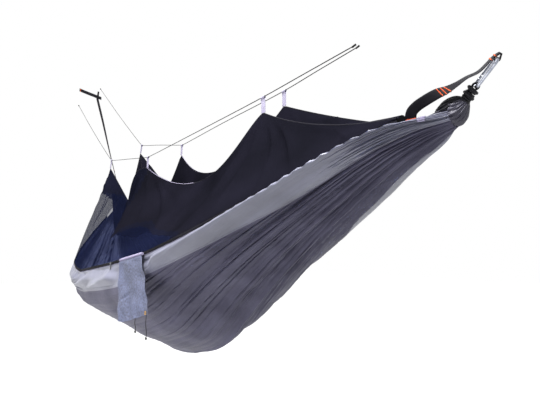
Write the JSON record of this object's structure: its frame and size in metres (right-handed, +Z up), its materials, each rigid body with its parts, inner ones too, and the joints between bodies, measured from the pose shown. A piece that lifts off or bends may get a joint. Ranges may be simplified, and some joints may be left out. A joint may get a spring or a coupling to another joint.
{
  "type": "hammock tent",
  "caption": "Gathered-end camp hammock with an insect net hung from two ridge lines, a zipped side, snap hooks on cord-bound ends and a stuff sack on its edge.",
  "frame": {"origin": "the pull point of the head strap's eye, where the hammock hangs from its head anchor", "axes": "+X from the foot end to the head end, +Y from the fastener side to the back, +Z up"},
  "size_m": [3.4714, 0.8132, 1.9021],
  "materials": {
    "centre_cloth": "thin woven nylon, faint sheen",
    "side_cloth": "thin woven nylon, faint sheen",
    "net": "fine mesh",
    "tape_cloth": "woven tape",
    "webbing": "flat woven webbing with coloured bar tacks",
    "pale_webbing": "flat woven webbing",
    "black_cord": "braided cord",
    "line_cord": "thin braided cord",
    "polished_steel": "polished steel",
    "brass": "pressed brass",
    "sack_cloth": "thin woven nylon, creased",
    "band_cloth": "folded cloth binding",
    "patch_cloth": "woven patch"
  },
  "bodies": {
    "rigging": {"ridge_knot_back_foot": "line_cord", "ridge_knot_back_head": "line_cord", "ridge_knot_front_foot": "line_cord", "ridge_knot_front_head": "line_cord", "ridge_line_back": "line_cord", "ridge_line_front": "line_cord", "ridge_loop_back_foot": "pale_webbing", "ridge_loop_back_head": "pale_webbing", "ridge_loop_back_mid": "pale_webbing", "ridge_loop_front_foot": "pale_webbing", "ridge_loop_front_head": "pale_webbing", "ridge_loop_front_mid": "pale_webbing", "head_strap_eye": "webbing", "foot_tree_strap": "webbing", "foot_strap_end": "webbing"},
    "bed": {"bed_centre_panel": "centre_cloth", "bed_side_panel_front": "side_cloth", "bed_side_panel_back": "side_cloth", "head_edge_band": "band_cloth", "foot_corner_patch": "patch_cloth", "head_gather": "centre_cloth", "foot_gather": "centre_cloth", "head_cord_loop": "black_cord", "foot_cord_loop": "black_cord", "head_cord_winding": "black_cord", "foot_cord_winding": "black_cord", "head_hook_body": "polished_steel", "head_hook_pin": "polished_steel", "foot_hook_body": "polished_steel", "foot_hook_pin": "polished_steel", "head_strap_tail": "webbing", "foot_strap_leg": "webbing", "zip_tape": "tape_cloth", "seam_tape": "tape_cloth", "zip_stop_head": "tape_cloth", "zip_stop_foot": "tape_cloth", "sack_top_bar": "band_cloth", "net_front_panel": "net", "net_back_panel": "net", "net_roof": "net"},
    "head_gate": {"head_hook_gate": "polished_steel"},
    "foot_gate": {"foot_hook_gate": "polished_steel"},
    "zip_slider_body": {"zip_slider": "polished_steel"},
    "zip_pull_body": {"zip_pull": "polished_steel"},
    "sack": {"sack_body": "sack_cloth", "sack_eyelet": "brass", "sack_cord_long": "line_cord", "sack_cord_short": "line_cord"}
  },
  "joints": [
    {"name": "bed_swing", "type": "hinge", "parent": "rigging", "child": "bed", "pos_m": [-0.00875, 0, -0.00821], "axis": [0.9639, 0, -0.2664], "range_deg": [-8, 8], "deforming": ["net_front_panel", "net_back_panel", "net_roof", "foot_strap_leg", "head_strap_tail"]},
    {"name": "head_gate_hinge", "type": "hinge", "parent": "bed", "child": "head_gate", "pos_m": [-0.04931, 0.00955, -0.03221], "axis": [0.4666, 0.7314, -0.4974], "range_deg": [0, 28], "stiffness_Nm_per_rad": 0.05, "springref_deg": -17.19},
    {"name": "foot_gate_hinge", "type": "hinge", "parent": "bed", "child": "foot_gate", "pos_m": [-2.55835, 0.007, -0.03914], "axis": [0.3895, 0.866, 0.3135], "range_deg": [0, 28], "stiffness_Nm_per_rad": 0.05, "springref_deg": -17.19},
    {"name": "zip_slide", "type": "slide", "parent": "bed", "child": "zip_slider_body", "axis": [-0.9921, -0.0606, -0.1101], "range_m": [0, 0.12]},
    {"name": "zip_pull_swing", "type": "hinge", "parent": "zip_slider_body", "child": "zip_pull_body", "pos_m": [-1.19931, -0.42316, -0.44941], "axis": [0.061, -0.9981, 0], "range_deg": [-60, 60]},
    {"name": "sack_swing", "type": "hinge", "parent": "bed", "child": "sack", "pos_m": [-1.11389, -0.41491, -0.43727], "axis": [-0.9794, -0.1323, -0.1525], "range_deg": [0, 60]}
  ]
}
